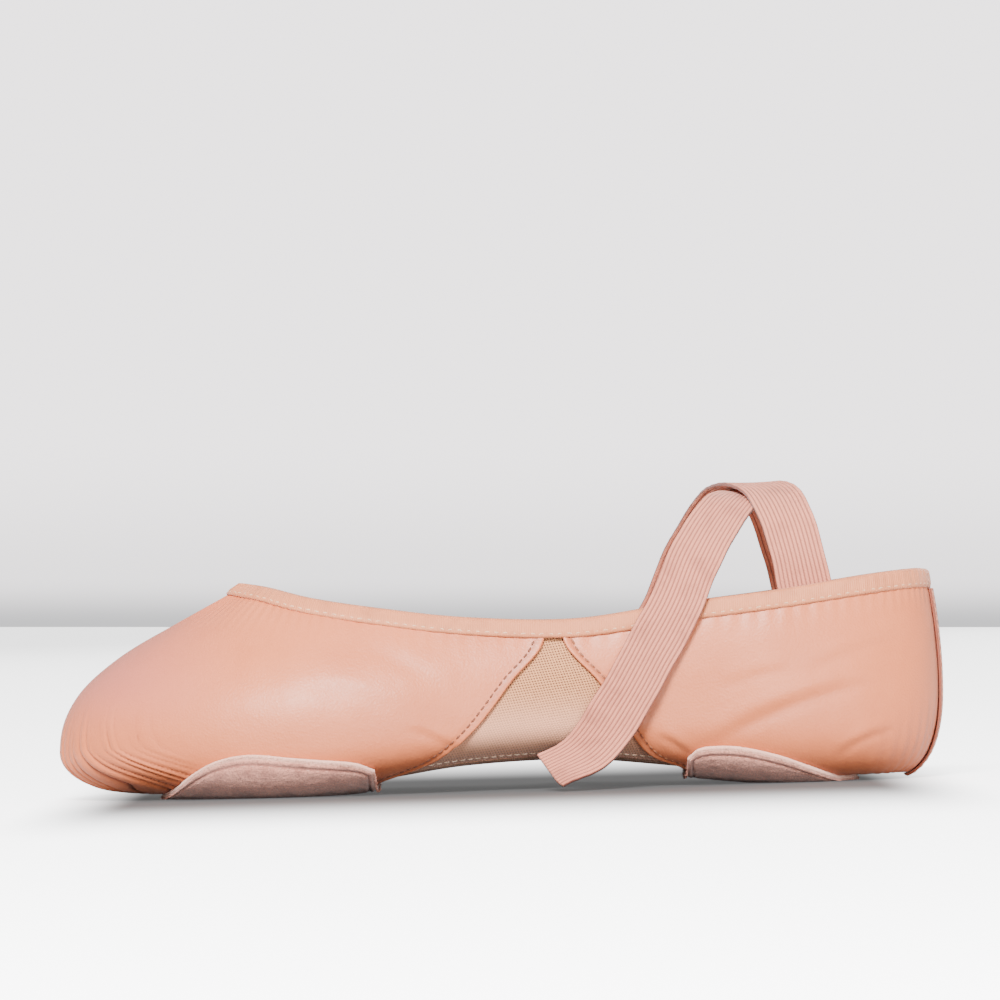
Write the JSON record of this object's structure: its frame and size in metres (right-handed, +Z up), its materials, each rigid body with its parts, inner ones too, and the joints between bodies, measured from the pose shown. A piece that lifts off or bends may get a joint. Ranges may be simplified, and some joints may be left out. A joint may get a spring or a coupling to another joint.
{
  "type": "ballet slipper",
  "caption": "Split-sole leather ballet slipper with a mesh arch, suede sole pads and crossing elastic straps.",
  "frame": {"origin": "on the floor plane, under the middle of the whole slipper", "axes": "-X to the toe, +X to the heel, -Y to the slipper's left side, +Z up"},
  "size_m": [0.2425, 0.0866, 0.0823],
  "materials": {
    "leather": "soft matt-satin pink glove leather with a fine grain",
    "suede": "brushed pink suede, matt",
    "lining": "plain-weave cotton",
    "padding": "soft needled cotton wadding",
    "insole": "thin undyed split suede sock",
    "mesh": "fine warp-knit stretch mesh",
    "binding": "folded stretch binding tape",
    "elastic": "ribbed flat elastic"
  },
  "bodies": {
    "forefoot": {"vamp": "leather", "vamp_lining": "lining", "forefoot_padding": "padding", "forefoot_insole": "insole", "forefoot_outsole": "suede", "left_arch_mesh": "mesh", "right_arch_mesh": "mesh", "arch_sling": "mesh", "topline_binding": "binding"},
    "heel": {"left_quarter": "leather", "right_quarter": "leather", "left_quarter_lining": "lining", "right_quarter_lining": "lining", "back_seam_tape": "leather", "heel_padding": "padding", "heel_insole": "insole", "heel_outsole": "suede"},
    "left_elastic": {"left_strap": "elastic"},
    "right_elastic": {"right_strap": "elastic"},
    "left_elastic_tail": {"left_strap_tail": "elastic"},
    "right_elastic_tail": {"right_strap_tail": "elastic"}
  },
  "joints": [
    {"name": "arch_flex", "type": "hinge", "parent": "forefoot", "child": "heel", "pos_m": [0.01455, 0, 0.044], "axis": [0, 1, 0], "range_deg": [-12, 30], "stiffness_Nm_per_rad": 1.2, "deforming": ["left_arch_mesh", "right_arch_mesh", "arch_sling", "topline_binding"]},
    {"name": "left_strap_swing", "type": "hinge", "parent": "heel", "child": "left_elastic", "pos_m": [0.08375, -0.0193, 0.05], "axis": [0, 1, 0], "range_deg": [0, 30]},
    {"name": "right_strap_swing", "type": "hinge", "parent": "heel", "child": "right_elastic", "pos_m": [0.08375, 0.0193, 0.05], "axis": [0, 1, 0], "range_deg": [0, 30]},
    {"name": "left_tail_lift", "type": "hinge", "parent": "left_elastic", "child": "left_elastic_tail", "pos_m": [0.0472, 0.02981, 0.04818], "axis": [0.8893, 0.109, -0.4441], "range_deg": [0, 45]},
    {"name": "right_tail_lift", "type": "hinge", "parent": "right_elastic", "child": "right_elastic_tail", "pos_m": [0.04666, -0.03005, 0.0472], "axis": [-0.8807, 0.105, 0.4619], "range_deg": [0, 45]}
  ],
  "couplings": [
    {"joint": "right_strap_swing", "follows": "left_strap_swing", "ratio": 1}
  ]
}
